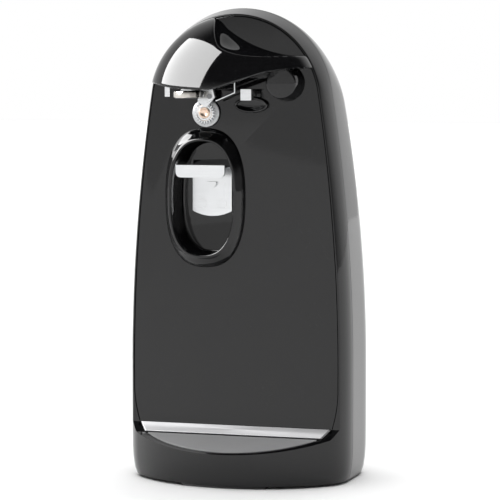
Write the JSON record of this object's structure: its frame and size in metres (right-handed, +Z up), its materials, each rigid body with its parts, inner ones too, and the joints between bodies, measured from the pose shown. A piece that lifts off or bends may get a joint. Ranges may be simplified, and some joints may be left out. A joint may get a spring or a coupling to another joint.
{
  "type": "electric can opener",
  "caption": "Upright electric can opener: arch-topped black case, front panel with cutting lever, toothed feed wheel, magnet and an oval bottle opener recess.",
  "frame": {"origin": "middle of the overall box, on the surface that the feet stand on", "axes": "+Z up, front panel facing -Y, feed wheel left of the middle on the -X side"},
  "size_m": [0.131, 0.1139, 0.268],
  "materials": {
    "case_black": "high gloss",
    "inner_black": "matte",
    "trim_silver": "satin",
    "shelf_grey": "satin",
    "steel": "plated, bright",
    "dark_steel": "blackened",
    "bronze": "sintered",
    "nylon": "natural",
    "magnet_metal": "nickel plate",
    "shaft_copper": "copper flash",
    "laminations": "varnished",
    "copper": "enamelled wire",
    "zinc": "zinc plate",
    "grit": "abrasive",
    "rubber": "matte",
    "red_plastic": "satin"
  },
  "bodies": {
    "case": {"front_panel": "case_black", "front_housing": "case_black", "rear_housing": "case_black", "base_plate": "inner_black", "trim_strip": "trim_silver", "shelf_pad": "shelf_grey", "opener_collar": "case_black", "recess_cup": "case_black", "bottle_opener": "steel", "opener_screws": "dark_steel", "lever_bushing": "bronze", "shaft_bushing_front": "bronze", "shaft_bushing_rear": "bronze", "can_guide": "steel", "guide_bezel": "case_black", "front_gear_plate": "steel", "rear_gear_plate": "steel", "frame_spacers": "steel", "frame_screws": "dark_steel", "gear_pins": "steel", "motor_core": "laminations", "motor_coil": "copper", "coil_bobbin": "inner_black", "motor_bushings": "bronze", "motor_rear_bracket": "zinc", "motor_spacers": "steel", "motor_screws": "dark_steel", "sharpener_guide": "inner_black", "switch_body": "inner_black", "switch_bracket": "steel", "cord_gland": "rubber", "case_screws": "dark_steel", "front_foot": "rubber", "rear_feet": "rubber"},
    "lever": {"cutting_lever": "case_black", "lever_shaft": "dark_steel", "lever_cam": "nylon", "lever_clip": "dark_steel", "cutter_bracket": "steel", "cutting_blade": "steel", "cutter_rivets": "dark_steel", "blade_wire": "steel", "magnet_bracket": "steel", "magnet_pin": "dark_steel"},
    "magnet_unit": {"magnet": "magnet_metal", "magnet_cup": "magnet_metal", "magnet_arm": "steel"},
    "feed_unit": {"feed_wheel": "steel", "feed_disc": "steel", "feed_shaft": "shaft_copper", "shaft_clip": "dark_steel", "final_gear": "nylon"},
    "second_gear_unit": {"second_gear": "nylon"},
    "first_gear_unit": {"first_gear": "nylon"},
    "rotor_unit": {"rotor_core": "laminations", "rotor_shaft": "steel", "motor_pinion": "bronze", "cooling_fan": "nylon", "grinding_wheel": "grit"},
    "plunger_unit": {"switch_plunger": "red_plastic"}
  },
  "joints": [
    {"name": "rotor_spin", "type": "hinge", "parent": "case", "child": "rotor_unit", "pos_m": [0.01129, 0.027, 0.15378], "axis": [0, 1, 0], "continuous": true},
    {"name": "first_gear_spin", "type": "hinge", "parent": "case", "child": "first_gear_unit", "pos_m": [0.01868, 0.008, 0.17408], "axis": [0, 1, 0], "continuous": true},
    {"name": "second_gear_spin", "type": "hinge", "parent": "case", "child": "second_gear_unit", "pos_m": [0.01451, 0.002, 0.19771], "axis": [0, 1, 0], "continuous": true},
    {"name": "feed_spin", "type": "hinge", "parent": "case", "child": "feed_unit", "pos_m": [-0.0165, -0.01, 0.209], "axis": [0, 1, 0], "continuous": true},
    {"name": "lever_lift", "type": "hinge", "parent": "case", "child": "lever", "pos_m": [0.0305, -0.028, 0.226], "axis": [0, 1, 0], "range_deg": [0, 38]},
    {"name": "magnet_tilt", "type": "hinge", "parent": "lever", "child": "magnet_unit", "pos_m": [-0.0225, -0.045, 0.227], "axis": [1, 0, 0], "range_deg": [-4, 4]},
    {"name": "plunger_travel", "type": "slide", "parent": "case", "child": "plunger_unit", "axis": [0, 0, 1], "range_m": [0, 0.001]}
  ],
  "couplings": [
    {"joint": "first_gear_spin", "follows": "rotor_spin", "ratio": -0.2},
    {"joint": "second_gear_spin", "follows": "rotor_spin", "ratio": 0.05},
    {"joint": "feed_spin", "follows": "rotor_spin", "ratio": -0.011111},
    {"joint": "plunger_travel", "follows": "lever_lift", "m_per_rad": 0.0015}
  ]
}
